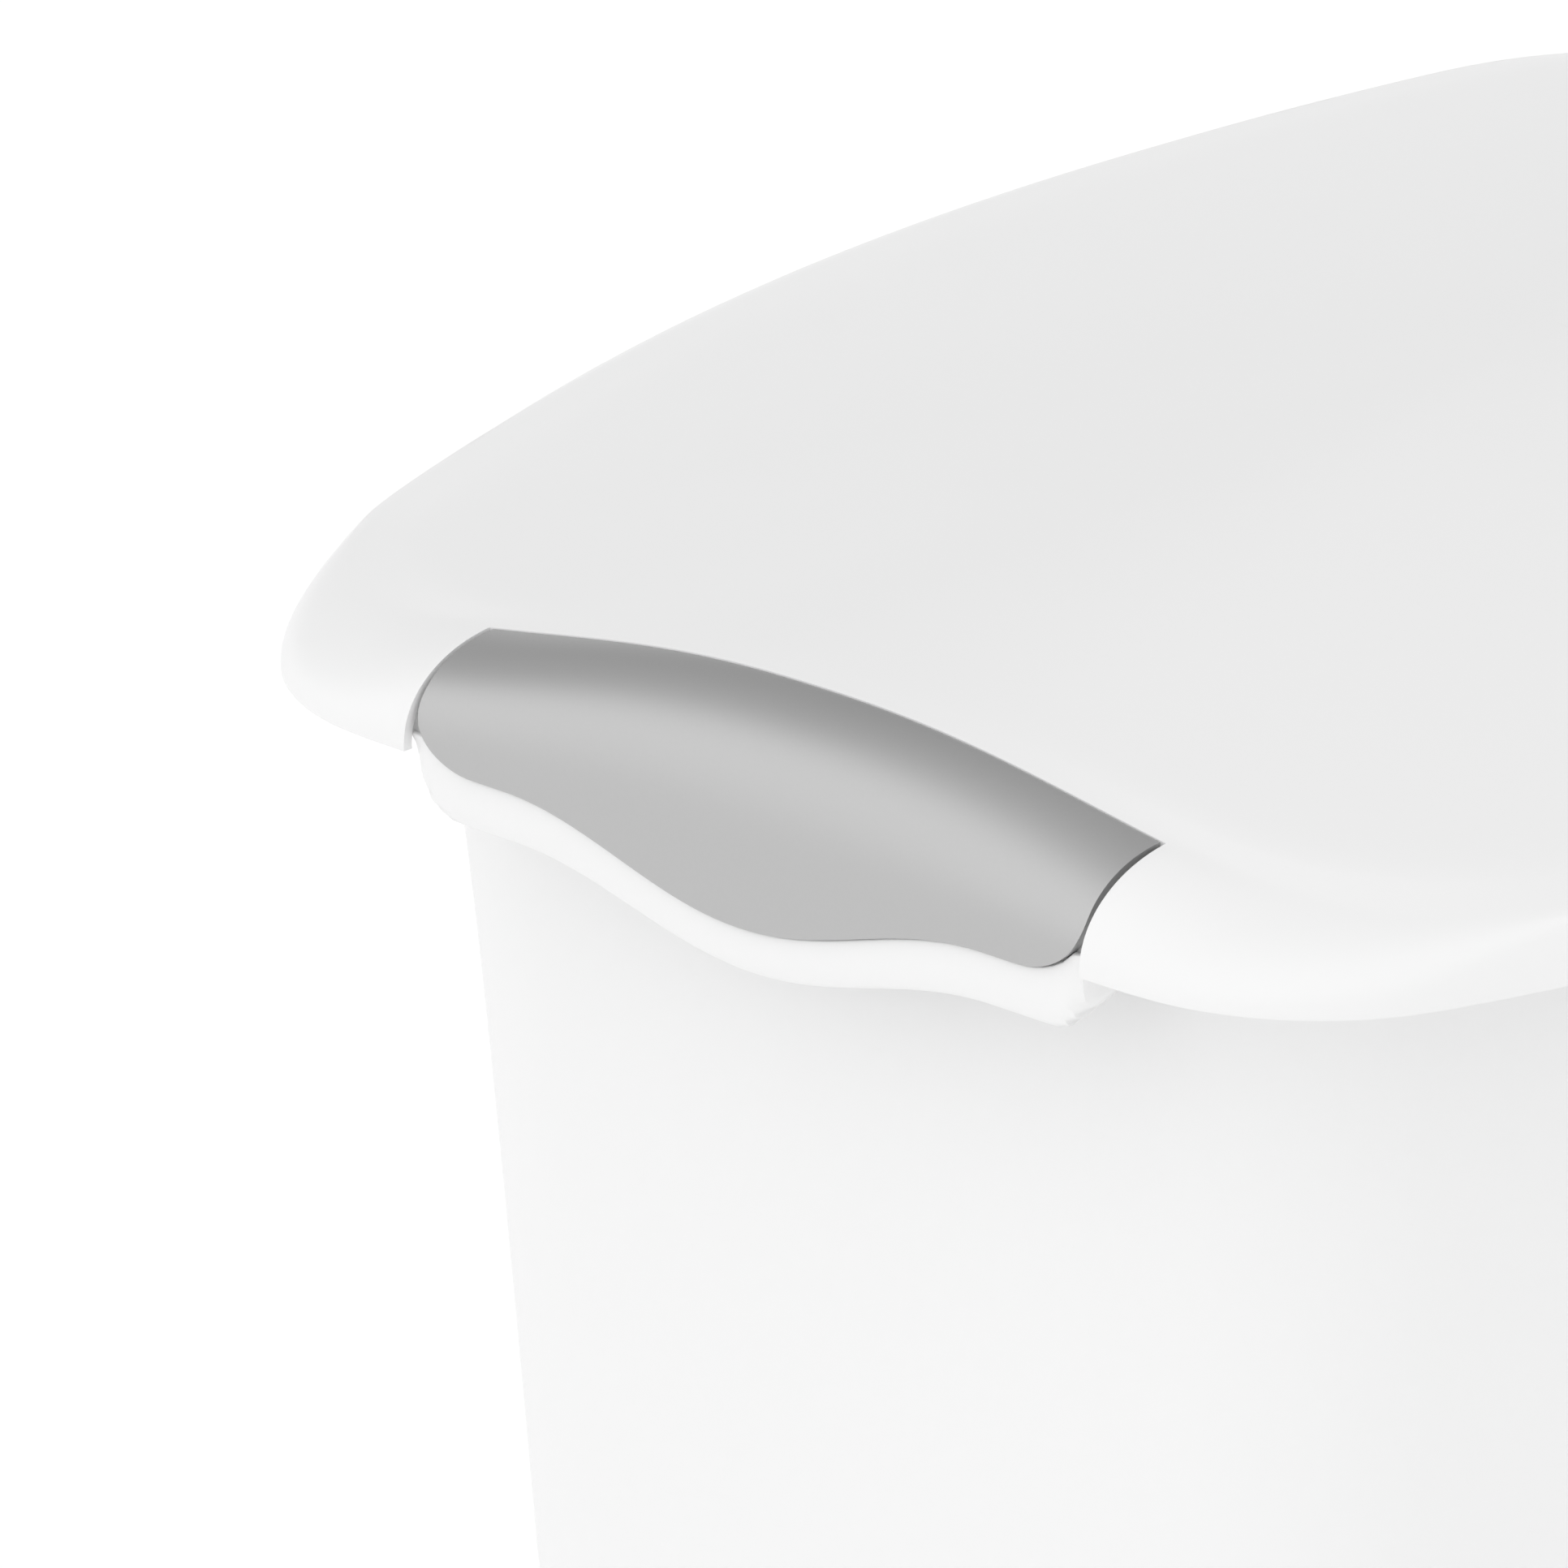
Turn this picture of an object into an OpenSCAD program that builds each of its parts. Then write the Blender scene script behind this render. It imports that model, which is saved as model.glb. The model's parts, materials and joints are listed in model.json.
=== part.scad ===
/* [Overall] */
// Length of the lid over its end skirts
lid_length = 502; // [492:1:512]
// Depth of the lid, front to back, at the middle of its bowed long sides
lid_depth = 396; // [392:1:402]
// Height of the closed hamper, floor to the top of the lid
total_height = 650; // [560:5:720]

/* [Lid] */
// Corner radius of the lid's outline
lid_corner_r = 55.5; // [53:0.5:58]
// How far the long sides of the lid bow outwards
lid_bow = 47; // [44:1:49]
// Height of the lid's edge, from the bottom of its skirt to the panel
lid_edge_h = 11.5; // [11:0.5:13]
// Extra height of the lid's edge where it arches over each grip
lid_arch_h = 16; // [12:0.5:17]
// Height of the middle of the lid above the bottom of its skirt
lid_crown_h = 30; // [28:0.5:34]
// Wall thickness of the lid
lid_wall = 2.2; // [2:0.1:2.4]

/* [Tub] */
// Length of the tub just under its handles
tub_length = 443; // [437:1:447]
// Depth of the tub just under its rim
tub_depth = 319; // [315:1:322]
// How much narrower each side of the tub is at the floor
tub_taper = 17.5; // [12:0.5:22]
// Corner radius of the tub
tub_corner_r = 46; // [42:1:50]
// Wall thickness of the tub
tub_wall = 2.2; // [2:0.1:2.8]

/* [Grips] */
// Length of each grip, along the end of the hamper
grip_length = 166.8; // [150:0.4:170]
// Thickness of each grip
grip_wall = 2.4; // [2:0.1:2.6]
// How far the face of a grip sits behind the face of the lid's skirt
grip_recess = 1.7; // [1.5:0.1:2]
// How far the lower edge of a grip dips in the middle
grip_dip = 11.8; // [8:0.2:14]
// Diameter of the pegs that hold a grip in the tub
peg_d = 5; // [4:0.5:6]

/* [Hinge] */
// Distance between the middles of the two hinges
hinge_spacing = 160; // [140:2:164]
// Diameter of the hinge pins
pin_d = 5; // [4:0.5:5]
// Length of each hinge pin
pin_length = 34; // [32:1:36]

/* [Hidden] */

// Steps along each straight-looking end, corner and long side of every outline
end_steps = 26;
corner_steps = 6;
side_steps = 12;
ring_steps = 2 * end_steps + 4 * corner_steps + 2 * side_steps;

seam_z = total_height - lid_crown_h; // bottom of the lid's skirt
end_bow = 0.5;
edge_power = 2.3;                    // squareness of the rounded edge of the lid
edge_lap = 1.4;                      // thickness of the skirt at its lower edge
panel_inset = 26.5;                  // from the skirt's face to the shoulder, at the ends
shoulder_inset = 11.5;               // and at the long sides
shoulder_corner_r = 64;
shoulder_bow = 23.5;
shoulder_w = [7.5, 16];              // width of the shoulder, up to the panel's crease
shoulder_rise = 3;                   // how much higher the crease is, away from the grips
edge_cut = 24;                       // angle of the crease where the edge meets the shoulder
cut_x = lid_length / 2 - 25.3;       // inner end of the lid's cut-outs, along X

seat_gap = 0.4;                      // between a grip and the handle under it
grip_drop = 0.8;                     // a grip's top edge lies this far below the panel
grip_half = grip_length / 2;
grip_cut_gap = 1.2;                  // between a grip's ends and the lid's cut-out
grip_base = -2.2;                    // lower edge of a grip at its ends, from the seam
grip_corner = [15.4, 12];            // rounding of a grip's lower corners
seat_inset = grip_recess + grip_wall + seat_gap;
dip_half = 60;                       // half the length of the dip in the lower edge

lip_h = 11.3;                        // height of the handle's lip below the grip
lip_out = 2.9;                       // from the skirt's face back to the lip's face
handle_full = [74, 83];              // the handle's underside and top are full up to here
handle_end = [84, 92];               // and have run out here
lip_rise = 3;                        // how far the lip climbs round a grip's lower corners

foot_round = 8;
foot_w = 10;
foot_recess = 2;
floor_t = 3;
shelf = [5, 5.5];                    // bead round the rim, at the ends and the sides
rim_h = 8;                           // height of the rim above the seam
tub_bow = 34;

hinge_y = lid_depth / 2 - 21.5;
hinge_z = seam_z + 2;
ear_t = 6;
ear_r = 5.4;
knuckle_l = 18;
knuckle_r = 4.8;
running_clearance = 0.05;
hinge_side_gap = 0.5;

peg_y = 45;
peg_z = seam_z + 3;
peg_l = 5.8;

vent_rows = 4;
vent_columns = 9;
vent_w = 7;
vent_h = 26;
vent_pitch_x = 22;
vent_pitch_z = 40;
vent_top_z = 0.78 * total_height;

function mix(a, b, t) = a + (b - a) * t;
function smooth(t) = let (u = min(1, max(0, t))) u * u * (3 - 2 * u);

function arc(cx, cy, r, from, to, steps) =
    [for (i = [0:steps - 1]) let (t = mix(from, to, i / steps)) [cx + r * cos(t), cy + r * sin(t)]];

// A rectangle with bowed sides and round corners: half sizes a and b, corner radius r,
// end_rise and side_rise are how far its ends and its long sides bow.
function outline(a, b, r, end_rise, side_rise) =
    let (
        xb = a - r - end_rise, yb = b - r - side_rise,
        r_end = (yb * yb + end_rise * end_rise) / (2 * end_rise),
        r_side = (xb * xb + side_rise * side_rise) / (2 * side_rise),
        t_end = asin(yb / r_end), t_side = asin(xb / r_side)
    )
    concat(
        arc(a - r - r_end, 0, r_end + r, -t_end, t_end, end_steps),
        arc(xb, yb, r, t_end, 90 - t_side, corner_steps),
        arc(0, b - r - r_side, r_side + r, 90 - t_side, 90 + t_side, side_steps),
        arc(-xb, yb, r, 90 + t_side, 180 - t_end, corner_steps),
        arc(r_end - a + r, 0, r_end + r, 180 - t_end, 180 + t_end, end_steps),
        arc(-xb, -yb, r, 180 + t_end, 270 - t_side, corner_steps),
        arc(0, r_side - b + r, r_side + r, 270 - t_side, 270 + t_side, side_steps),
        arc(xb, -yb, r, 270 + t_side, 360 - t_end, corner_steps)
    );

function skirt(inset) = outline(lid_length / 2 - inset, lid_depth / 2 - inset,
                                lid_corner_r - inset, end_bow, lid_bow);
function shoulder(inset) = outline(lid_length / 2 - panel_inset - inset,
                                   lid_depth / 2 - shoulder_inset - inset,
                                   shoulder_corner_r - inset, end_bow, shoulder_bow);
function crease() = outline(lid_length / 2 - panel_inset - shoulder_w[0],
                            lid_depth / 2 - shoulder_inset - shoulder_w[1],
                            shoulder_corner_r - 6, end_bow, shoulder_bow);

// Half sizes of the tub at a height below the seam, tapering in and flaring near the rim
function tub_outline(drop, inset) =
    let (t = tub_taper * (drop - 40) / (seam_z - 40), flare = 3 * exp(-drop / 45) - 1.2)
    outline(tub_length / 2 - t + flare - inset, tub_depth / 2 - t + flare - inset,
            tub_corner_r - inset, 1, tub_bow);

// Height of the lid's edge above the seam, arched over the grips
function edge_h(y) = lid_edge_h + lid_arch_h * exp(-pow(abs(y) / 88.5, 2.35));
// Height of the panel's crease, which runs out behind the grips
function crease_h(y) = edge_h(y) + shoulder_rise - (shoulder_rise - 0.4) * exp(-pow(y / 100, 4));
// The edge is a full quarter turn at the grips and meets the shoulder at an angle elsewhere
function edge_turn(y) = 90 - edge_cut * smooth((abs(y) - 85) / 30);

// Loft a closed skin through rings of equal length, capped at both ends by a point. The
// rings run from the top of the outside to the bottom, then back up the inside.
module loft(rings, first, last) {
    n = len(rings[0]);
    points = concat([first], [for (r = rings) each r], [last]);
    tip = len(points) - 1;
    faces = concat(
        [for (i = [0:n - 1]) [0, 1 + (i + 1) % n, 1 + i]],
        [for (k = [0:len(rings) - 2], i = [0:n - 1])
            let (a = 1 + k * n + i, b = 1 + k * n + (i + 1) % n)
            each [[a, b, b + n], [a, b + n, a + n]]],
        [for (i = [0:n - 1]) let (s = 1 + (len(rings) - 1) * n) [tip, s + i, s + (i + 1) % n]]
    );
    polyhedron(points, faces);
}

function reversed(list) = [for (i = [len(list) - 1:-1:0]) list[i]];
function flat_ring(shape, z) = [for (p = shape) [p[0], p[1], z]];

// ---- Lid ---------------------------------------------------------------------------

// One ring of the rounded edge: turn 0 is the bottom of the skirt, 90 the panel's edge
function edge_ring(turn, outer, inner, lower) =
    [for (i = [0:ring_steps - 1])
        let (
            full = edge_turn(inner[i][1]), t = turn / 90 * full,
            in = (1 - pow(cos(t), 2 / edge_power)) / (1 - pow(cos(full), 2 / edge_power)),
            rise = pow(sin(t) / sin(full), 2 / edge_power),
            p = mix(outer[i], inner[i], in)
        )
        [p[0], p[1], seam_z + (edge_h(inner[i][1]) - lower) * rise]];

// A ring on the shoulder: share 0 is its outer edge, 1 the panel's crease
function shoulder_ring(share, lower) =
    [for (i = [0:ring_steps - 1])
        let (low = shoulder(0)[i], high = crease()[i], p = mix(low, high, share))
        [p[0], p[1], seam_z - lower + mix(edge_h(low[1]), crease_h(high[1]), share)]];

function panel_ring(share, lower) =
    [for (p = crease())
        [p[0] * share, p[1] * share,
         seam_z - lower + mix(lid_crown_h, crease_h(p[1]), pow(share, 1.5))]];

module lid_shell() {
    turns = [0, 6, 14, 24, 36, 49, 62, 75, 84, 90];
    shares = [1, 0.86, 0.68, 0.48, 0.26];
    inner_turns = [16, 34, 52, 70, 84];
    loft(
        concat(
            [for (share = reversed(shares)) panel_ring(share, 0)],
            [shoulder_ring(0.5, 0)],
            [for (turn = reversed(turns)) edge_ring(turn, skirt(0), shoulder(0), 0)],
            [flat_ring(skirt(edge_lap), seam_z)],
            [for (turn = inner_turns)
                edge_ring(turn, skirt(turn < 20 ? (edge_lap + lid_wall) / 2 : lid_wall),
                          shoulder(lid_wall / 2), lid_wall)],
            [shoulder_ring(0.5, lid_wall)],
            [for (share = shares) panel_ring(share, lid_wall)]
        ),
        [0, 0, seam_z + lid_crown_h],
        [0, 0, seam_z + lid_crown_h - lid_wall]
    );
}

// Opening in an end of the lid, its lower corners rounded as the grip's are
module lid_cut_out() {
    half = grip_half + grip_cut_gap;
    r = grip_corner[0];
    floor_z = grip_base - grip_cut_gap;
    translate([cut_x, 0, seam_z]) rotate([90, 0, 90]) linear_extrude(60) union() {
        translate([-half, floor_z + r]) square([2 * half, 60]);
        translate([r - half, floor_z]) square([2 * (half - r), 60]);
        for (side = [-1, 1]) translate([side * (half - r), floor_z + r]) circle(r, $fn = 48);
    }
}

module at_hinges() {
    for (side = [-1, 1]) translate([side * hinge_spacing / 2, hinge_y, hinge_z]) children();
}

module along_x(r, length) {
    rotate([0, 90, 0]) cylinder(r = r, h = length, center = true, $fn = 48);
}

module lid_knuckle() {
    reach = 9;
    translate([-knuckle_l / 2, -knuckle_r, 0]) cube([knuckle_l, 2 * knuckle_r - 3, reach]);
    along_x(knuckle_r, knuckle_l);
}

module lid() {
    color("white") difference() {
        union() {
            lid_shell();
            at_hinges() lid_knuckle();
        }
        for (turn = [0, 180]) rotate([0, 0, turn]) lid_cut_out();
        at_hinges() along_x(pin_d / 2 + running_clearance, knuckle_l + 4);
    }
}

// ---- Tub ---------------------------------------------------------------------------

function dip(y, depth) = abs(y) > dip_half ? 0 : depth * (0.5 + 0.5 * cos(180 * y / dip_half));
function lip_top(y) = min(lip_rise, grip_bottom(y) - 0.5);
function lip_bottom(y) = grip_base - 1 - lip_h - dip(y, grip_dip - 1.5);
function handle_share(y, k = 12) =
    let (t = min(1, max(0, (k - 7) / 5)), full = mix(handle_full[0], handle_full[1], t),
         end = mix(handle_end[0], handle_end[1], t))
    1 - smooth((abs(y) - full) / (end - full));

// Section of a handle at one place: how far behind the skirt's face, and how high
// above the seam, from the wall under the handle, round its lip, to the top of its seat
function handle_section(y) =
    let (top = edge_h(y) - grip_drop - grip_wall - seat_gap, low = lip_bottom(y),
         width = panel_inset - seat_inset - 1)
    concat(
        [[26, 2], [23.5, top - 5.5], [18, top - 4], [11.5, 0.72 * top - 2.5], [8, 0.3 * top],
         [6.9, -4], [6.9, low + 1.6], [6.1, low + 0.2], [4.7, low + 0.5], [3.5, low + 2.8],
         [lip_out, low + 6], [lip_out, lip_top(y)], [seat_inset, lip_top(y)]],
        [for (turn = [5, 25, 48, 70, 90])
            [seat_inset + width * (1 - pow(cos(turn), 2 / edge_power)),
             top * pow(sin(turn), 2 / edge_power)]]
    );

// The same points where there is no handle: only a bead round the outside of the wall
function bead_section() =
    concat(
        [[0, -5.6], [0.5, -5.1], [0.8, -4.6], [0.9, -4.1], [1, -3.6], [1, -3.1], [1, -2.6],
         [1, -2.1], [1, -1.6], [1, -1.1], [1, -0.6], [1, -0.1], [1, 0.6]],
        [[1, 2], [0.7, 4], [0, 6.5], [0, 9.5], [-0.12, rim_h]]
    );

function rim_ring(k) =
    let (wall = tub_outline(0, 0), bead = tub_outline(0, -shelf[0]))
    [for (i = [0:ring_steps - 1])
        let (
            y = wall[i][1], share = handle_share(y, k),
            plain = bead_section()[k], full = handle_section(y)[k],
            p = mix(wall[i], bead[i], plain[0]),
            q = [sign(wall[i][0]) * (lid_length / 2 - full[0]), y],
            xy = mix(p, q, share)
        )
        [xy[0], xy[1], seam_z + mix(plain[1], full[1], share)]];

function rim_top_ring(inset, lower) =
    [for (p = tub_outline(0, inset))
        [p[0], p[1], seam_z + mix(rim_h, edge_h(p[1]) - grip_drop - grip_wall - seat_gap,
                                  handle_share(p[1])) - lower]];

module tub_shell() {
    drops = [seam_z - foot_round, 0.75 * seam_z, 0.5 * seam_z, 0.25 * seam_z, 80, 45, 22, 9];
    floor_round = 9;
    floor_z = foot_recess + floor_t;
    loft(
        concat(
            [flat_ring(tub_outline(seam_z, tub_wall + floor_round), floor_z),
             flat_ring(tub_outline(seam_z, tub_wall + 0.3 * floor_round), floor_z + 0.3 * floor_round),
             flat_ring(tub_outline(seam_z - floor_round, tub_wall), floor_z + floor_round)],
            [for (i = [1:len(drops) - 1]) flat_ring(tub_outline(drops[i], tub_wall), seam_z - drops[i])],
            [rim_top_ring(tub_wall, 1.5), rim_top_ring(tub_wall - 0.6, 0)],
            [for (k = [len(bead_section()) - 1:-1:0]) rim_ring(k)],
            [for (drop = reversed(drops)) flat_ring(tub_outline(drop, 0), seam_z - drop)],
            [flat_ring(tub_outline(seam_z, 0.3 * foot_round), 0.3 * foot_round),
             flat_ring(tub_outline(seam_z, foot_round), 0),
             flat_ring(tub_outline(seam_z, foot_round + foot_w), 0),
             flat_ring(tub_outline(seam_z, foot_round + foot_w + 4), foot_recess)]
        ),
        [0, 0, floor_z],
        [0, 0, foot_recess]
    );
}

// Pair of ears for one hinge, on a bracket out from the back wall
module hinge_ears() {
    wall_y = tub_depth / 2 - hinge_y - 3.5;
    for (side = [-1, 1])
        translate([side * (knuckle_l + ear_t + 2 * hinge_side_gap) / 2, 0, 0]) {
            along_x(ear_r, ear_t);
            translate([-ear_t / 2, wall_y, -5]) cube([ear_t, -wall_y, 7]);
        }
}

module vents() {
    for (row = [0:vent_rows - 1], column = [0:vent_columns - 1])
        translate([(column - (vent_columns - 1) / 2) * vent_pitch_x, vent_top_z - row * vent_pitch_z]) {
            square([vent_w, vent_h - vent_w], center = true);
            for (side = [-1, 1]) translate([0, side * (vent_h - vent_w) / 2]) circle(vent_w / 2, $fn = 32);
        }
}

module at_pegs() {
    for (side = [-1, 1]) translate([0, side * peg_y, peg_z]) children();
}

module tub() {
    color("whitesmoke") difference() {
        union() {
            tub_shell();
            at_hinges() hinge_ears();
        }
        rotate([90, 0, 0]) linear_extrude(lid_depth, center = true) vents();
        at_hinges() along_x(pin_d / 2, pin_length + 2);
        for (turn = [0, 180]) rotate([0, 0, turn])
            translate([lid_length / 2 - seat_inset - 3, 0, 0]) at_pegs() along_x(peg_d / 2, 12);
    }
}

// ---- Grips -------------------------------------------------------------------------

// Lower edge of a grip: the dip in the middle and the rounded corners
function grip_bottom(y) =
    let (in = (abs(y) - grip_half + grip_corner[0]) / grip_corner[0])
    in > 0 ? grip_base + grip_corner[1] * (1 - sqrt(max(0, 1 - in * in))) : grip_base - dip(y, grip_dip);

// A point on a grip, down its section from the top edge (0) to the lower edge (1)
function grip_point(y, share, inset) =
    let (
        top = edge_h(y) - grip_drop - inset, width = panel_inset - grip_recess - 1.5 - inset,
        fall = 0.25, low = grip_bottom(y),
        full = low < 0 ? 90 - low / fall : 90 - asin(pow(low / top, edge_power / 2)),
        turn = share * full, in = turn < 90 ? 1 - pow(sin(turn), 2 / edge_power) : 0,
        z = turn < 90 ? top * pow(cos(turn), 2 / edge_power) : -(turn - 90) * fall
    )
    [lid_length / 2 - grip_recess - inset - width * in, y, seam_z + z];

module grip_shell() {
    rows = 12;
    columns = 30;
    row = rows + 1;
    skin = row * (columns + 1);
    y_at = [for (i = [0:columns]) grip_half * sin(90 * (2 * i / columns - 1))];
    points = [for (inset = [0, grip_wall], y = y_at, j = [0:rows]) grip_point(y, j / rows, inset)];
    faces = concat(
        [for (i = [0:columns - 1], j = [0:rows - 1])
            let (a = i * row + j, b = a + row)
            each [[a, b + 1, a + 1], [a, b, b + 1],
                  [skin + a, skin + a + 1, skin + b + 1], [skin + a, skin + b + 1, skin + b]]],
        [for (i = [0:columns - 1]) let (a = i * row, b = a + row)
            each [[a, skin + b, b], [a, skin + a, skin + b],
                  [a + rows, b + rows, skin + b + rows], [a + rows, skin + b + rows, skin + a + rows]]],
        [for (j = [0:rows - 1]) let (a = j, b = columns * row + j)
            each [[a, a + 1, skin + a + 1], [a, skin + a + 1, skin + a],
                  [b, skin + b + 1, b + 1], [b, skin + b, skin + b + 1]]]
    );
    polyhedron(points, faces);
}

module grip() {
    color("silver") union() {
        grip_shell();
        translate([lid_length / 2 - grip_recess - grip_wall / 2 - peg_l / 2, 0, 0])
            at_pegs() along_x(peg_d / 2, peg_l);
    }
}

module left_grip() { rotate([0, 0, 180]) grip(); }
module right_grip() { grip(); }

// ---- Hinge pins --------------------------------------------------------------------

module hinge_pin(side) {
    color("lightgray") translate([side * hinge_spacing / 2, hinge_y, hinge_z])
        along_x(pin_d / 2, pin_length);
}
module left_hinge_pin() { hinge_pin(-1); }
module right_hinge_pin() { hinge_pin(1); }

tub();
lid();
left_grip();
right_grip();
left_hinge_pin();
right_hinge_pin();
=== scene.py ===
"""A white laundry hamper: tapered tub, hinged domed lid and a satin grey grip at each end."""

import json
import math

import bmesh
import bpy
from mathutils import Matrix, Vector

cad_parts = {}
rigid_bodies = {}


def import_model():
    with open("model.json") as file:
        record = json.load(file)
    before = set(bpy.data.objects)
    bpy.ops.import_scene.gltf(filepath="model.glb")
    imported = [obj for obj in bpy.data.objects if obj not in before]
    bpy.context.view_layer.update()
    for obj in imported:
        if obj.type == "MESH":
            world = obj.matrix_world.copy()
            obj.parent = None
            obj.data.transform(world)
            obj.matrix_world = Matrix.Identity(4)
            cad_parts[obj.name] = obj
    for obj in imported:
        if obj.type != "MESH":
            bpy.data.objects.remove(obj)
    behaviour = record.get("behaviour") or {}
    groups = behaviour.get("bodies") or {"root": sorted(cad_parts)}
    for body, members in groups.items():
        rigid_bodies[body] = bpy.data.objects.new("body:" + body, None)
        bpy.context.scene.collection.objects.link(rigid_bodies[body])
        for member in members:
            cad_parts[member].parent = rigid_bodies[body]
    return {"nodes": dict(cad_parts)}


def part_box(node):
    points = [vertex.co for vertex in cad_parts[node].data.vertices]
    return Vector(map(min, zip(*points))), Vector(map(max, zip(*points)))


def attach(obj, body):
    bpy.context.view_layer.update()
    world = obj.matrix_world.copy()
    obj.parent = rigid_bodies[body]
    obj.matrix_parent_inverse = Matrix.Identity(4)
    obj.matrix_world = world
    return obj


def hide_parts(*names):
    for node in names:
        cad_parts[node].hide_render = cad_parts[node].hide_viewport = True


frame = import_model()
for spare in list(bpy.data.objects):
    if spare.name in ("Cube", "Light", "Camera"):
        bpy.data.objects.remove(spare)
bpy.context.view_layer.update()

# ---- Tub ---------------------------------------------------------------------------
# The tub is one injection moulding in white polypropylene. Its four walls taper down to
# a foot ring, and at each end the rim reaches out and hooks down into a handle.
mm = 0.001
tub_low, tub_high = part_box("tub")
lid_low, lid_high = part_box("lid")
seam_z = lid_low[2]
skirt_half_x = lid_high[0] + 0.15 * mm
skirt_half_y = lid_high[1]
wall_half_x = skirt_half_x - 29.5 * mm
wall_half_y = 159.5 * mm
wall_bow = 34 * mm
wall_taper = 17.5 * mm
wall_t = 2.2 * mm
wall_corner = 46 * mm
foot_round = 8 * mm
foot_ring = 10 * mm
foot_recess = 2 * mm
floor_t = 3 * mm
rim_h = 8 * mm

grip_low, grip_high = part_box("right_grip")
grip_half = grip_high[1]
grip_wall = 2.4 * mm
grip_recess = 1.7 * mm
seat_drop = 0.8 * mm
grip_base = -2.2 * mm
grip_dip = 11.8 * mm
dip_half = 60 * mm
seat_gap = 0.4 * mm
seat_inset = grip_recess + grip_wall + seat_gap
edge_power = 2.3
panel_inset = 26.5 * mm
lip_h = 11.3 * mm
lip_out = 2.9 * mm
handle_full = (75 * mm, 87 * mm)
handle_end = (85 * mm, 94 * mm)
lip_rise = 3 * mm
grip_corner_w, grip_corner_h = 15.4 * mm, 12 * mm
underside_point, lip_point = 7, 12
soften_passes = 10


def mix(a, b, share):
    return a + (b - a) * share


def smooth_step(share):
    held = min(1, max(0, share))
    return held * held * (3 - 2 * held)


def bowed_outline(half_x, half_y, corner, end_rise, side_rise, steps=(68, 28, 88)):
    """Points round a rectangle with bowed sides and softened corners, from the right end."""
    ends, corners, sides = steps
    x = half_x - corner - end_rise
    y = half_y - corner - side_rise
    end_r = (y * y + end_rise * end_rise) / (2 * end_rise)
    side_r = (x * x + side_rise * side_rise) / (2 * side_rise)
    end_turn = math.asin(y / end_r)
    side_turn = math.asin(x / side_r)
    quarter = math.pi / 2
    arcs = [
        (half_x - corner - end_r, 0, end_r + corner, -end_turn, end_turn, ends),
        (x, y, corner, end_turn, quarter - side_turn, corners),
        (0, half_y - corner - side_r, side_r + corner,
         quarter - side_turn, quarter + side_turn, sides),
        (-x, y, corner, quarter + side_turn, 2 * quarter - end_turn, corners),
        (end_r - half_x + corner, 0, end_r + corner,
         2 * quarter - end_turn, 2 * quarter + end_turn, ends),
        (-x, -y, corner, 2 * quarter + end_turn, 3 * quarter - side_turn, corners),
        (0, side_r - half_y + corner, side_r + corner,
         3 * quarter - side_turn, 3 * quarter + side_turn, sides),
        (x, -y, corner, 3 * quarter + side_turn, 4 * quarter - end_turn, corners),
    ]
    points = []
    for cx, cy, r, start, stop, count in arcs:
        for i in range(count):
            turn = mix(start, stop, i / count)
            points.append(Vector((cx + r * math.cos(turn), cy + r * math.sin(turn), 0)))
    for _ in range(soften_passes):
        following = points[1:] + points[:1]
        points = [(points[i - 1] + 2 * p + q) / 4 for i, (p, q) in enumerate(zip(points, following))]
    return points


def wall_outline(drop, inset):
    fall = wall_taper * (drop - 40 * mm) / (seam_z - 40 * mm)
    flare = 3 * mm * math.exp(-drop / (45 * mm)) - 1.2 * mm
    half_x = wall_half_x - fall + flare - inset
    half_y = wall_half_y - fall + flare - inset
    return bowed_outline(half_x, half_y, wall_corner - inset, 1 * mm, wall_bow)


def at_height(points, z):
    return [Vector((p.x, p.y, z)) for p in points]


def edge_height(y):
    """Height of the lid's edge above the seam, which arches over the grips."""
    return 11.5 * mm + 16 * mm * math.exp(-(abs(y) / (88.5 * mm)) ** 2.35)


def handle_share(y, k=lip_point):
    """How much of the handle there is at point k: its lip runs further than its underside."""
    part = min(1, max(0, (k - underside_point) / (lip_point - underside_point)))
    full, end = mix(*handle_full, part), mix(*handle_end, part)
    return 1 - smooth_step((abs(y) - full) / (end - full))


def dip(y, depth):
    return depth * (0.5 + 0.5 * math.cos(math.pi * y / dip_half)) if abs(y) < dip_half else 0


def grip_bottom(y):
    share = (abs(y) - grip_half + grip_corner_w) / grip_corner_w
    if share > 0:
        return grip_base + grip_corner_h * (1 - math.sqrt(max(0, 1 - share * share)))
    return grip_base - dip(y, grip_dip)


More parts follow.
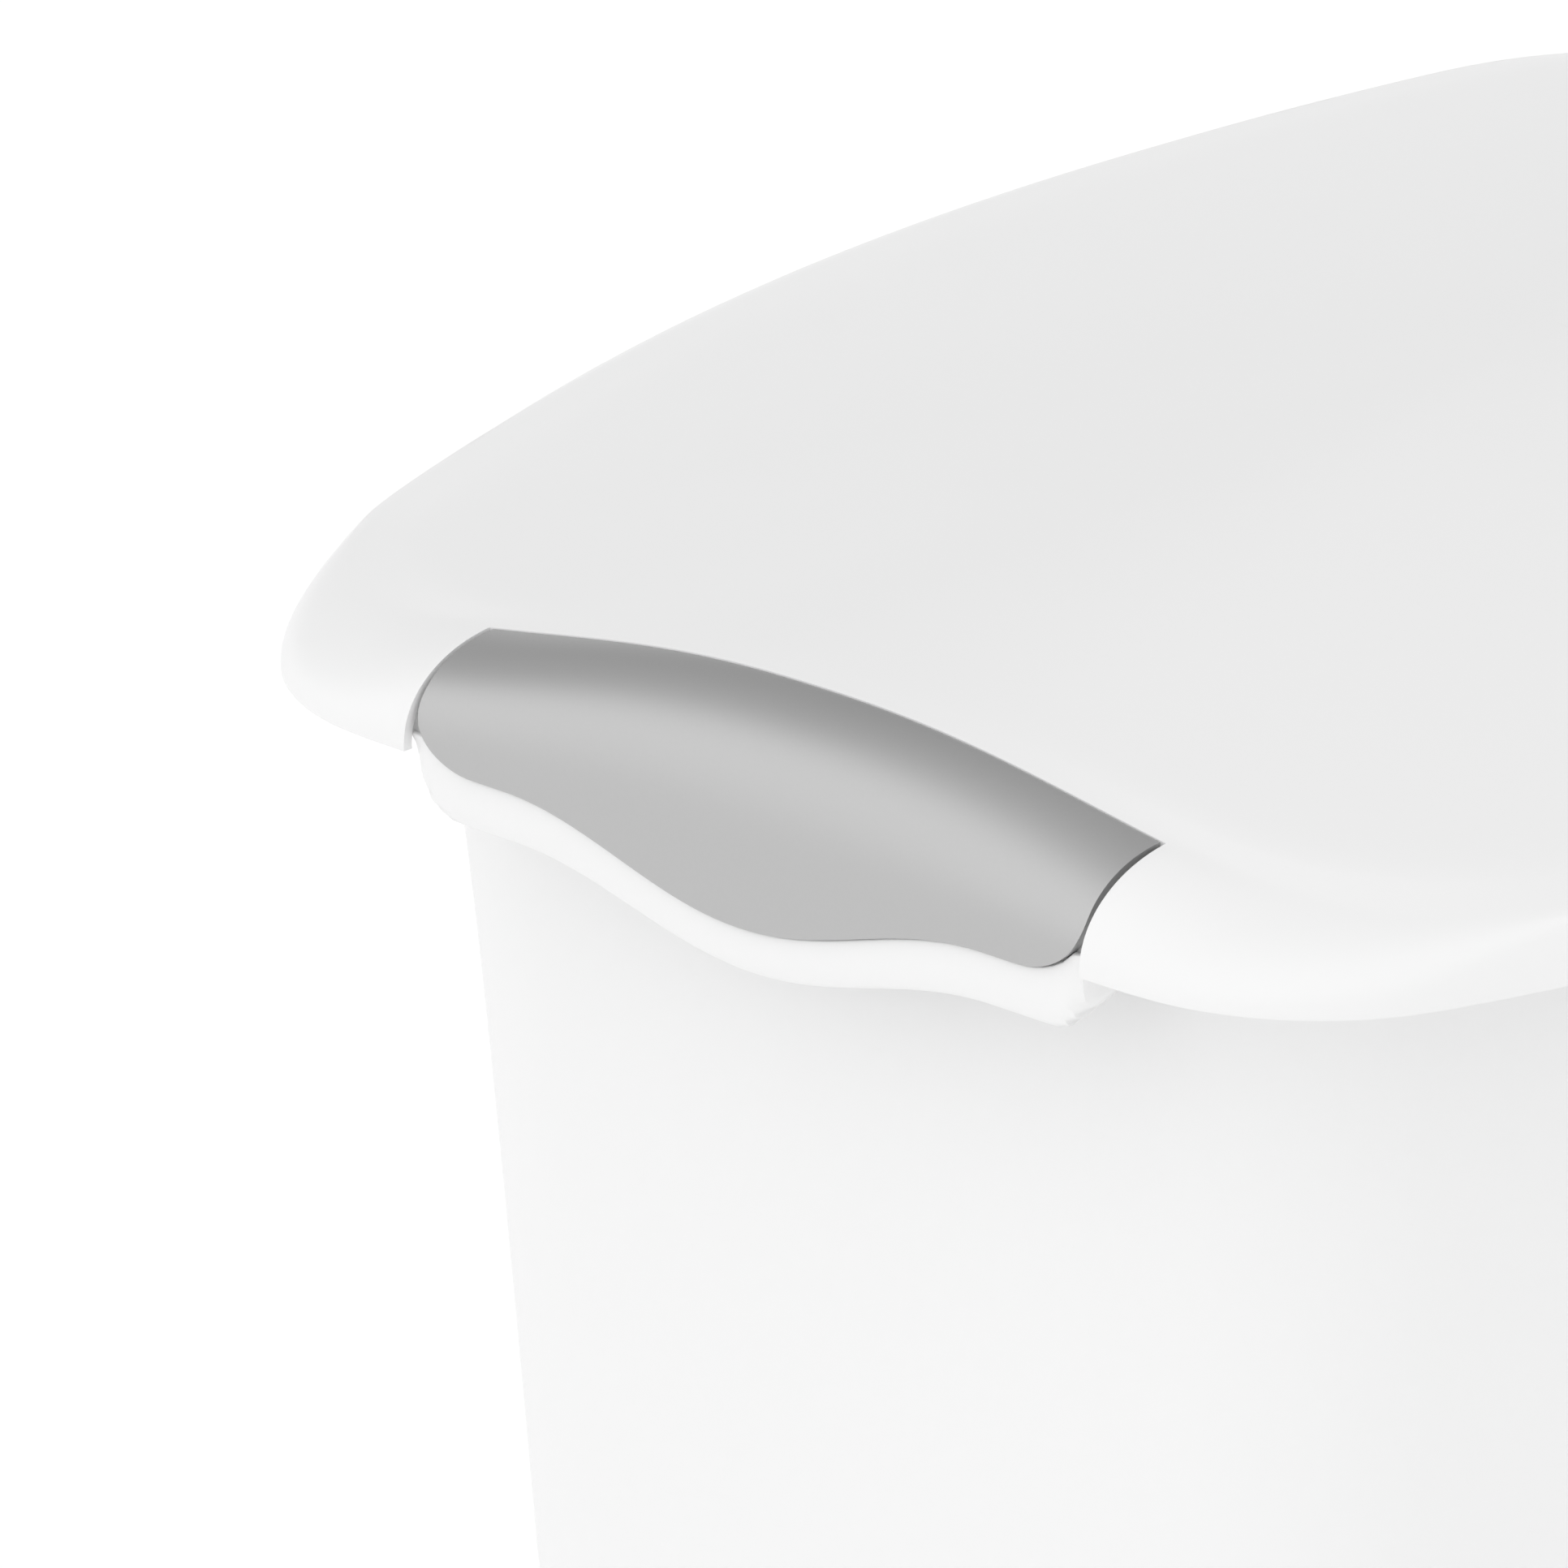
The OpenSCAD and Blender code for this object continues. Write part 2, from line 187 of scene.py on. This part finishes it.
def handle_section(y):
    """Round a handle from the wall under it to the top of its seat: inset, height."""
    top = edge_height(y) - seat_drop - grip_wall - seat_gap
    low = grip_base - 1 * mm - lip_h - dip(y, grip_dip - 1.5 * mm)
    upper = min(lip_rise, grip_bottom(y) - 0.5 * mm)
    width = panel_inset - seat_inset - 1 * mm
    hook = [
        (26 * mm, 2 * mm), (23.5 * mm, top - 5.5 * mm), (18 * mm, top - 4 * mm),
        (11.5 * mm, 0.72 * top - 2.5 * mm), (8 * mm, 0.3 * top), (6.9 * mm, -4 * mm),
        (6.9 * mm, low + 1.6 * mm), (6.1 * mm, low + 0.2 * mm), (4.7 * mm, low + 0.5 * mm),
        (3.5 * mm, low + 2.8 * mm), (lip_out, low + 6 * mm), (lip_out, upper - 0.6 * mm),
        (lip_out + 0.2 * mm, upper), (seat_inset, upper),
    ]
    for degrees in (5, 25, 48, 70, 90):
        turn = math.radians(degrees)
        out = 1 - math.cos(turn) ** (2 / edge_power)
        hook.append((seat_inset + width * out, top * math.sin(turn) ** (2 / edge_power)))
    return hook


def bead_section():
    """The same points where there is no handle: a bead round the outside of the rim."""
    return [
        (0, -5.6), (0.5, -5.1), (0.8, -4.6), (0.9, -4.1), (1, -3.6), (1, -3.1), (1, -2.6),
        (1, -2.1), (1, -1.6), (1, -1.1), (1, -0.6), (1, -0.3), (1, 0), (1, 0.6),
        (1, 2), (0.7, 4), (0, 5.5), (0, 7), (-0.12, 8),
    ]


def ring_edges(ring):
    members = set(ring)
    return list({e for v in ring for e in v.link_edges if e.other_vert(v) in members})


def start_ring(bm, points):
    ring = bmesh.ops.create_circle(bm, segments=len(points), radius=1)["verts"]
    for vert, point in zip(ring, points):
        vert.co = point
    return ring


def next_ring(bm, ring, points):
    """Extrudes an open edge loop and sets the new loop out along the given points."""
    made = bmesh.ops.extrude_edge_only(bm, edges=ring_edges(ring))["geom"]
    fresh = {v for v in made if isinstance(v, bmesh.types.BMVert)}
    ring = [next(e.other_vert(v) for e in v.link_edges if e.other_vert(v) in fresh) for v in ring]
    for vert, point in zip(ring, points):
        vert.co = point
    return ring


def close_ring(bm, ring):
    bmesh.ops.contextual_create(bm, geom=ring_edges(ring))


def finish_piece(bm, name, smooth_angle=35):
    bmesh.ops.remove_doubles(bm, verts=bm.verts, dist=1e-7)
    bmesh.ops.recalc_face_normals(bm, faces=bm.faces)
    mesh = bpy.data.meshes.new(name)
    bm.to_mesh(mesh)
    bm.free()
    mesh.shade_smooth()
    mesh.set_sharp_from_angle(angle=math.radians(smooth_angle))
    piece = bpy.data.objects.new(name, mesh)
    bpy.context.scene.collection.objects.link(piece)
    return piece


def keep_modifiers(piece):
    """Replaces a piece's mesh by what its modifiers make of it."""
    depsgraph = bpy.context.evaluated_depsgraph_get()
    mesh = bpy.data.meshes.new_from_object(piece.evaluated_get(depsgraph))
    piece.modifiers.clear()
    piece.data = mesh


def rim_ring_points(k):
    wall = wall_outline(0, 0)
    bead = wall_outline(0, -5 * mm)
    points = []
    plain = bead_section()[k]
    for w, b in zip(wall, bead):
        share = handle_share(w.y, k)
        inset, height = handle_section(w.y)[k]
        at_bead = mix(w, b, plain[0])
        at_handle = Vector((math.copysign(skirt_half_x - inset, w.x), w.y, 0))
        point = mix(at_bead, at_handle, share)
        point.z = seam_z + mix(plain[1] * mm, height, share)
        points.append(point)
    return points


def rim_top_points(inset, lower):
    points = []
    for p in wall_outline(0, inset):
        seat = edge_height(p.y) - seat_drop - grip_wall - seat_gap
        points.append(Vector((p.x, p.y, seam_z + mix(rim_h, seat, handle_share(p.y)) - lower)))
    return points


def round_off(rings):
    """Cuts the corners off the section that runs through a list of rings."""
    rounded = [rings[0]]
    for low, high in zip(rings, rings[1:]):
        rounded.append([mix(p, q, 0.25) for p, q in zip(low, high)])
        rounded.append([mix(p, q, 0.75) for p, q in zip(low, high)])
    return rounded + [rings[-1]]


def skin(rings):
    """A closed skin through a list of rings, capped at both ends."""
    bm = bmesh.new()
    ring = start_ring(bm, rings[0])
    close_ring(bm, ring)
    for points in rings[1:]:
        ring = next_ring(bm, ring, points)
    close_ring(bm, ring)
    return bm


drops = [0.97 * seam_z, 0.75 * seam_z, 0.5 * seam_z, 0.25 * seam_z, 80 * mm, 45 * mm, 22 * mm, 9 * mm]
floor_z = foot_recess + floor_t
rings = [at_height(wall_outline(seam_z, 0.35 * wall_half_y), floor_z)]
for inset, rise in ((11, 0), (4.5, 0.9), (2.7, 3.4), (2.2, 9)):
    rings.append(at_height(wall_outline(seam_z - rise * mm, inset * mm), floor_z + rise * mm))
for drop in drops:
    rings.append(at_height(wall_outline(drop, wall_t), seam_z - drop))
for inset, lower in ((2.2, 2.4), (2.2, 0.5), (1.7, 0)):
    rings.append(rim_top_points(inset * mm, lower * mm))
for k in reversed(range(len(bead_section()))):
    rings.append(rim_ring_points(k))
for drop in reversed(drops):
    rings.append(at_height(wall_outline(drop, 0), seam_z - drop))
for inset, rise in ((0.2, 7), (2.6, 2.4), (7, 0), (18, 0), (18.6, 0.4), (22, 2)):
    rings.append(at_height(wall_outline(seam_z, inset * mm), rise * mm))
rings.append(at_height(wall_outline(seam_z, 0.35 * wall_half_y), foot_recess))
tub = finish_piece(skin(round_off(round_off(rings))), "tub_moulding", 180)

# Ears for the hinge pins, one on each side of both hinge knuckles
pin_low, pin_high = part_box("left_hinge_pin")
hinge_y, hinge_z = (pin_low[1] + pin_high[1]) / 2, (pin_low[2] + pin_high[2]) / 2
hinge_x = 80 * mm
knuckle_half = 9 * mm
ear_r, ear_t = 5.4 * mm, 6 * mm
ear_offset = knuckle_half + 3.5 * mm
bracket_y = 156 * mm


def round_bar(bm, middle, radius, length):
    """A round bar along X, returned as its vertices."""
    bar = bmesh.ops.create_cone(
        bm, cap_ends=True, segments=40, radius1=radius, radius2=radius, depth=length
    )["verts"]
    bmesh.ops.rotate(bm, verts=bar, cent=(0, 0, 0), matrix=Matrix.Rotation(math.pi / 2, 3, "Y"))
    bmesh.ops.translate(bm, verts=bar, vec=middle)
    return bar


def block(bm, low, high):
    verts = bmesh.ops.create_cube(bm, size=1)["verts"]
    for vert in verts:
        vert.co = Vector([mix(a, b, c + 0.5) for a, b, c in zip(low, high, vert.co)])
    return verts


def add_to(piece, bm, operation="UNION"):
    """Joins a second shape to a piece, or cuts it out of the piece."""
    tool = finish_piece(bm, "tool")
    change = piece.modifiers.new("change", "BOOLEAN")
    change.operation = operation
    change.solver = "MANIFOLD"
    change.object = tool
    keep_modifiers(piece)
    bpy.data.objects.remove(tool)


bm = bmesh.new()
for side in (-1, 1):
    for turn in (-1, 1):
        x = side * hinge_x + turn * ear_offset
        ear = round_bar(bm, (x, hinge_y, hinge_z), ear_r, ear_t)
        ear += block(bm, (x - ear_t / 2, bracket_y, hinge_z - 5 * mm),
                     (x + ear_t / 2, hinge_y - 4 * mm, hinge_z + 2 * mm))
        hull = bmesh.ops.convex_hull(bm, input=ear)
        spare = [v for v in hull["geom_interior"] if isinstance(v, bmesh.types.BMVert)]
        bmesh.ops.delete(bm, geom=spare, context="VERTS")
add_to(tub, bm)

# Air slots in the front and back walls, in four rows of nine
slot_w, slot_h = 7 * mm, 26 * mm
slot_rows, slot_columns = 4, 9
slot_pitch_x, slot_pitch_z = 22 * mm, 40 * mm
slot_top_z = 507 * mm
bm = bmesh.new()
for row in range(slot_rows):
    for column in range(slot_columns):
        along = (column - (slot_columns - 1) / 2) * slot_pitch_x
        middle = Vector((along, 0, slot_top_z - row * slot_pitch_z))
        slot = bmesh.ops.create_cone(
            bm, cap_ends=True, segments=24, radius1=slot_w / 2, radius2=slot_w / 2, depth=2 * skirt_half_y
        )["verts"]
        for vert in slot:
            stretch = math.copysign((slot_h - slot_w) / 2, vert.co.y)
            vert.co = middle + Vector((vert.co.x, vert.co.z, vert.co.y + stretch))
add_to(tub, bm, "DIFFERENCE")
tub.data.set_sharp_from_angle(angle=math.radians(35))
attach(tub, "hamper")
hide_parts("tub")


def moulded_plastic(name, colour, roughness, grain, bump):
    """Moulded polypropylene: an even colour, a fine spark-eroded grain and soft sheen."""
    material = bpy.data.materials.new(name)
    material.use_nodes = True
    nodes, links = material.node_tree.nodes, material.node_tree.links
    shader = nodes["Principled BSDF"]
    shader.inputs["IOR"].default_value = 1.49
    place = nodes.new("ShaderNodeTexCoord")
    cloud = nodes.new("ShaderNodeTexNoise")
    cloud.inputs["Scale"].default_value = 9
    cloud.inputs["Detail"].default_value = 3
    links.new(place.outputs["Object"], cloud.inputs["Vector"])
    tint = nodes.new("ShaderNodeMixRGB")
    tint.inputs["Color1"].default_value = (*[0.985 * c for c in colour], 1)
    tint.inputs["Color2"].default_value = (*colour, 1)
    links.new(cloud.outputs["Fac"], tint.inputs["Fac"])
    links.new(tint.outputs["Color"], shader.inputs["Base Color"])
    fine = nodes.new("ShaderNodeTexNoise")
    fine.inputs["Scale"].default_value = grain
    fine.inputs["Detail"].default_value = 4
    links.new(place.outputs["Object"], fine.inputs["Vector"])
    gloss = nodes.new("ShaderNodeMapRange")
    gloss.inputs["To Min"].default_value = roughness - 0.06
    gloss.inputs["To Max"].default_value = roughness + 0.06
    links.new(fine.outputs["Fac"], gloss.inputs["Value"])
    links.new(gloss.outputs["Result"], shader.inputs["Roughness"])
    relief = nodes.new("ShaderNodeBump")
    relief.inputs["Strength"].default_value = bump
    relief.inputs["Distance"].default_value = 0.05 * mm
    links.new(fine.outputs["Fac"], relief.inputs["Height"])
    links.new(relief.outputs["Normal"], shader.inputs["Normal"])
    return material


def dress(piece, material):
    piece.data.materials.clear()
    piece.data.materials.append(material)


white = moulded_plastic("white polypropylene", (0.86, 0.86, 0.86), 0.33, 1400, 0.2)
dress(tub, white)

# ---- Grips -------------------------------------------------------------------------
# Each grip is a thin curved shell moulded in grey polypropylene with a metallic finish.
# It snaps onto the handle, level with the lid's rounded edge, and its lower edge dips.
grip_drop = 0.25 * mm


def grip_point(y, share):
    """A point down a grip's section, from its top edge (0) to its lower edge (1)."""
    top = edge_height(y) - grip_drop
    width = panel_inset - grip_recess - 1.5 * mm
    fall = 0.25 * mm
    low = grip_bottom(y)
    if low < 0:
        full = 90 - low / fall
    else:
        full = 90 - math.degrees(math.asin((low / top) ** (edge_power / 2)))
    turn = share * full
    if turn < 90:
        inset = grip_recess + width * (1 - math.sin(math.radians(turn)) ** (2 / edge_power))
        height = top * math.cos(math.radians(turn)) ** (2 / edge_power)
    else:
        inset = grip_recess
        height = -(turn - 90) * fall
    return Vector((skirt_half_x - inset, y, seam_z + height))


def make_grip(name, side):
    bm = bmesh.new()
    bmesh.ops.create_grid(bm, x_segments=48, y_segments=96, size=0.5)
    for vert in bm.verts:
        y = grip_half * math.sin(math.pi * vert.co.y)
        vert.co = grip_point(y, vert.co.x + 0.5)
    if side < 0:
        bmesh.ops.rotate(bm, verts=bm.verts, cent=(0, 0, 0), matrix=Matrix.Rotation(math.pi, 3, "Z"))
    bmesh.ops.recalc_face_normals(bm, faces=bm.faces)
    outward = sum((f.normal.x * side * f.calc_area() for f in bm.faces), 0)
    if outward < 0:
        bmesh.ops.reverse_faces(bm, faces=bm.faces)
    mesh = bpy.data.meshes.new(name)
    bm.to_mesh(mesh)
    bm.free()
    mesh.shade_smooth()
    grip = bpy.data.objects.new(name, mesh)
    bpy.context.scene.collection.objects.link(grip)
    wall = grip.modifiers.new("wall", "SOLIDIFY")
    wall.thickness = grip_wall
    wall.offset = -1
    edge = grip.modifiers.new("edge", "BEVEL")
    edge.width = 0.5 * mm
    edge.segments = 3
    edge.limit_method = "ANGLE"
    edge.angle_limit = math.radians(50)
    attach(grip, "hamper")
    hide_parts(name.replace("_insert", ""))
    return grip


def metallic_plastic(name):
    """Grey plastic with a metal-flake pigment: satin, with a fine speckle and faint flow."""
    material = bpy.data.materials.new(name)
    material.use_nodes = True
    nodes, links = material.node_tree.nodes, material.node_tree.links
    shader = nodes["Principled BSDF"]
    shader.inputs["Metallic"].default_value = 0.85
    place = nodes.new("ShaderNodeTexCoord")
    speckle = nodes.new("ShaderNodeTexNoise")
    speckle.inputs["Scale"].default_value = 1500
    speckle.inputs["Detail"].default_value = 5
    links.new(place.outputs["Object"], speckle.inputs["Vector"])
    cloud = nodes.new("ShaderNodeTexNoise")
    cloud.inputs["Scale"].default_value = 60
    cloud.inputs["Detail"].default_value = 4
    links.new(place.outputs["Object"], cloud.inputs["Vector"])
    both = nodes.new("ShaderNodeMath")
    both.operation = "MULTIPLY_ADD"
    both.inputs[1].default_value = 2.5
    links.new(speckle.outputs["Fac"], both.inputs[0])
    links.new(cloud.outputs["Fac"], both.inputs[2])
    tint = nodes.new("ShaderNodeValToRGB")
    tint.color_ramp.elements[0].position = 0.45
    tint.color_ramp.elements[0].color = (0.4, 0.4, 0.4, 1)
    tint.color_ramp.elements[1].position = 1
    tint.color_ramp.elements[1].color = (0.5, 0.5, 0.5, 1)
    links.new(both.outputs["Value"], tint.inputs["Fac"])
    links.new(tint.outputs["Color"], shader.inputs["Base Color"])
    gloss = nodes.new("ShaderNodeMapRange")
    gloss.inputs["To Min"].default_value = 0.3
    gloss.inputs["To Max"].default_value = 0.46
    links.new(speckle.outputs["Fac"], gloss.inputs["Value"])
    links.new(gloss.outputs["Result"], shader.inputs["Roughness"])
    relief = nodes.new("ShaderNodeBump")
    relief.inputs["Strength"].default_value = 0.3
    relief.inputs["Distance"].default_value = 0.04 * mm
    links.new(speckle.outputs["Fac"], relief.inputs["Height"])
    links.new(relief.outputs["Normal"], shader.inputs["Normal"])
    return material


grey = metallic_plastic("grey metallic plastic")
for name, side in (("left_grip_insert", -1), ("right_grip_insert", 1)):
    dress(make_grip(name, side), grey)

# ---- Hinge pins --------------------------------------------------------------------
# Two short acetal pins at the back, pressed through the tub's ears; the lid turns on them.
pin_white = moulded_plastic("natural acetal", (0.78, 0.77, 0.74), 0.35, 900, 0.15)
for name in ("left_hinge_pin", "right_hinge_pin"):
    dress(frame["nodes"][name], pin_white)

# ---- Lid ---------------------------------------------------------------------------
# The lid is a thin domed moulding in the tub's white plastic. Its edge rolls over into a
# short skirt, arches up over the grips, and is cut out round each of them.
lid_crown = lid_high[2] - seam_z
lid_corner = 55.5 * mm
lid_bow = 47 * mm
shoulder_inset = 11.5 * mm
shoulder_corner = 64 * mm
shoulder_bow = 23.5 * mm
shoulder_w = (7.5 * mm, 16 * mm)
shoulder_rise = 3 * mm
edge_cut = math.radians(24)
lid_wall = 2.2 * mm
cut_gap = 1.2 * mm


def skirt_outline():
    return bowed_outline(skirt_half_x, skirt_half_y, lid_corner, 0.5 * mm, lid_bow)


def shoulder_outline():
    half_x, half_y = skirt_half_x - panel_inset, skirt_half_y - shoulder_inset
    return bowed_outline(half_x, half_y, shoulder_corner, 0.5 * mm, shoulder_bow)


def crease_outline():
    half_x = skirt_half_x - panel_inset - shoulder_w[0]
    half_y = skirt_half_y - shoulder_inset - shoulder_w[1]
    return bowed_outline(half_x, half_y, shoulder_corner - 6 * mm, 0.5 * mm, shoulder_bow)


def crease_height(y):
    """Height of the crease round the lid's panel, which runs out behind the grips."""
    return edge_height(y) + shoulder_rise - (shoulder_rise - 0.4 * mm) * math.exp(-((y / (100 * mm)) ** 4))


def edge_points(share):
    """A ring of the lid's rounded edge, from the bottom of its skirt (0) to the shoulder (1)."""
    points = []
    for outer, inner in zip(skirt_outline(), shoulder_outline()):
        full = math.pi / 2 - edge_cut * smooth_step((abs(inner.y) - 85 * mm) / (30 * mm))
        reach = 1 - max(0, math.cos(full)) ** (2 / edge_power)
        inward = (1 - max(0, math.cos(share * full)) ** (2 / edge_power)) / reach
        rise = (math.sin(share * full) / math.sin(full)) ** (2 / edge_power)
        point = mix(outer, inner, inward)
        point.z = seam_z + edge_height(inner.y) * rise
        points.append(point)
    return points


def shoulder_points(share):
    points = []
    for low, high in zip(shoulder_outline(), crease_outline()):
        point = mix(low, high, share)
        point.z = seam_z + mix(edge_height(low.y), crease_height(high.y), share)
        points.append(point)
    return points


def panel_points(share):
    points = []
    for edge in crease_outline():
        height = mix(lid_crown, crease_height(edge.y), share ** 1.5)
        points.append(Vector((edge.x * share, edge.y * share, seam_z + height)))
    return points


rings = [panel_points(share) for share in (0.03, 0.08, 0.15, 0.3, 0.45, 0.6, 0.72, 0.82, 0.9, 0.95, 0.98)]
rings += [shoulder_points(share) for share in (0.88, 0.75, 0.6, 0.45, 0.3, 0.15)]
rings += [edge_points(step / 24) for step in range(24, -1, -1)]
bm = bmesh.new()
ring = start_ring(bm, rings[0])
close_ring(bm, ring)
for points in rings[1:]:
    ring = next_ring(bm, ring, points)
lid = finish_piece(bm, "lid_moulding", 180)
wall = lid.modifiers.new("wall", "SOLIDIFY")
wall.thickness = lid_wall
wall.offset = -1
keep_modifiers(lid)
bm = bmesh.new()
for side in (-1, 1):
    near, far = skirt_half_x - 25.3 * mm, skirt_half_x + 30 * mm
    half = grip_half + cut_gap
    base = seam_z + grip_base - cut_gap
    opening = block(bm, (side * near, -half, base), (side * far, half, base + 80 * mm))
    corners = {e for v in opening for e in v.link_edges
               if max(p.co.z for p in e.verts) < seam_z and abs(e.verts[0].co.y - e.verts[1].co.y) < 1 * mm}
    bmesh.ops.bevel(
        bm, geom=list(corners), offset=grip_corner_w, segments=16, profile=0.5, affect="EDGES", material=-1
    )
add_to(lid, bm, "DIFFERENCE")

# Knuckles under the back edge, which turn on the hinge pins
knuckle_r, knuckle_reach = 4.8 * mm, 9 * mm
bm = bmesh.new()
for side in (-1, 1):
    x = side * hinge_x
    knuckle = round_bar(bm, (x, hinge_y, hinge_z), knuckle_r, 2 * knuckle_half)
    knuckle += block(bm, (x - knuckle_half, hinge_y - knuckle_r, hinge_z),
                     (x + knuckle_half, hinge_y + 1.8 * mm, hinge_z + knuckle_reach))
    hull = bmesh.ops.convex_hull(bm, input=knuckle)
    spare = [v for v in hull["geom_interior"] if isinstance(v, bmesh.types.BMVert)]
    bmesh.ops.delete(bm, geom=spare, context="VERTS")
add_to(lid, bm)
rim = lid.modifiers.new("rim", "BEVEL")
rim.width = 0.6 * mm
rim.segments = 3
rim.limit_method = "ANGLE"
rim.angle_limit = math.radians(50)
keep_modifiers(lid)
lid.data.set_sharp_from_angle(angle=math.radians(35))
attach(lid, "lid")
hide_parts("lid")
dress(lid, white)

# ---- Floor, light and camera ---------------------------------------------------------
# A pale floor and a white tent that is brightest overhead and dimmer low at the front, with
# one dark patch high at the back right that shades the grips. The camera looks down on the
# left end of the lid from the front left.
floor_size = 30
bm = bmesh.new()
bmesh.ops.create_grid(bm, x_segments=1, y_segments=1, size=floor_size)
floor = finish_piece(bm, "studio_floor")
pale = bpy.data.materials.new("pale floor")
pale.use_nodes = True
surface = pale.node_tree.nodes["Principled BSDF"]
surface.inputs["Base Color"].default_value = (0.9, 0.9, 0.9, 1)
surface.inputs["Roughness"].default_value = 0.9
surface.inputs["Emission Color"].default_value = (1, 1, 1, 1)
surface.inputs["Emission Strength"].default_value = 0.13
dress(floor, pale)

world = bpy.data.worlds.new("tent")
bpy.context.scene.world = world
world.use_nodes = True
nodes, links = world.node_tree.nodes, world.node_tree.links
place = nodes.new("ShaderNodeTexCoord")


def toward(direction):
    """How nearly the world's direction lines up with another: 1 when it does."""
    node = nodes.new("ShaderNodeVectorMath")
    node.operation = "DOT_PRODUCT"
    node.inputs[1].default_value = Vector(direction).normalized()
    links.new(place.outputs["Generated"], node.inputs[0])
    return node.outputs["Value"]


def ramp(value, start, stop, low, high):
    node = nodes.new("ShaderNodeMapRange")
    node.interpolation_type = "SMOOTHSTEP"
    for name, number in zip(("From Min", "From Max", "To Min", "To Max"), (start, stop, low, high)):
        node.inputs[name].default_value = number
    links.new(value, node.inputs["Value"])
    return node.outputs["Result"]


glow = ramp(toward((-0.3, 0.35, 0.88)), -0.6, 1, 0.78, 1.24)
dark = ramp(toward((0.45, 0.7, 0.55)), 0.62, 0.95, 0, -0.68)
above = ramp(toward((0, 0, 1)), 0.06, 0.3, 0, 1)
total = nodes.new("ShaderNodeMath")
total.operation = "MULTIPLY_ADD"
for source, socket in zip((dark, above, glow), total.inputs):
    links.new(source, socket)
links.new(total.outputs["Value"], nodes["Background"].inputs["Strength"])
nodes["Background"].inputs["Color"].default_value = (1, 1, 1, 1)

azimuth, elevation, roll = math.radians(-47.69), math.radians(22.93), math.radians(-1.48)
distance = 1.585
target = Vector((34.1 * mm - skirt_half_x, 16.6 * mm, seam_z))
back = Vector((
    math.sin(azimuth) * math.cos(elevation), -math.cos(azimuth) * math.cos(elevation), math.sin(elevation)
))
lens = bpy.data.cameras.new("camera")
lens.sensor_width = 36
lens.lens = 191.3
camera = bpy.data.objects.new("camera", lens)
bpy.context.scene.collection.objects.link(camera)
camera.location = target + distance * back
facing = back.to_track_quat("Z", "Y").to_matrix()
camera.rotation_euler = facing.to_euler()
camera.rotation_euler.rotate_axis("Z", roll)
bpy.context.scene.camera = camera
bpy.context.scene.view_settings.view_transform = "Standard"
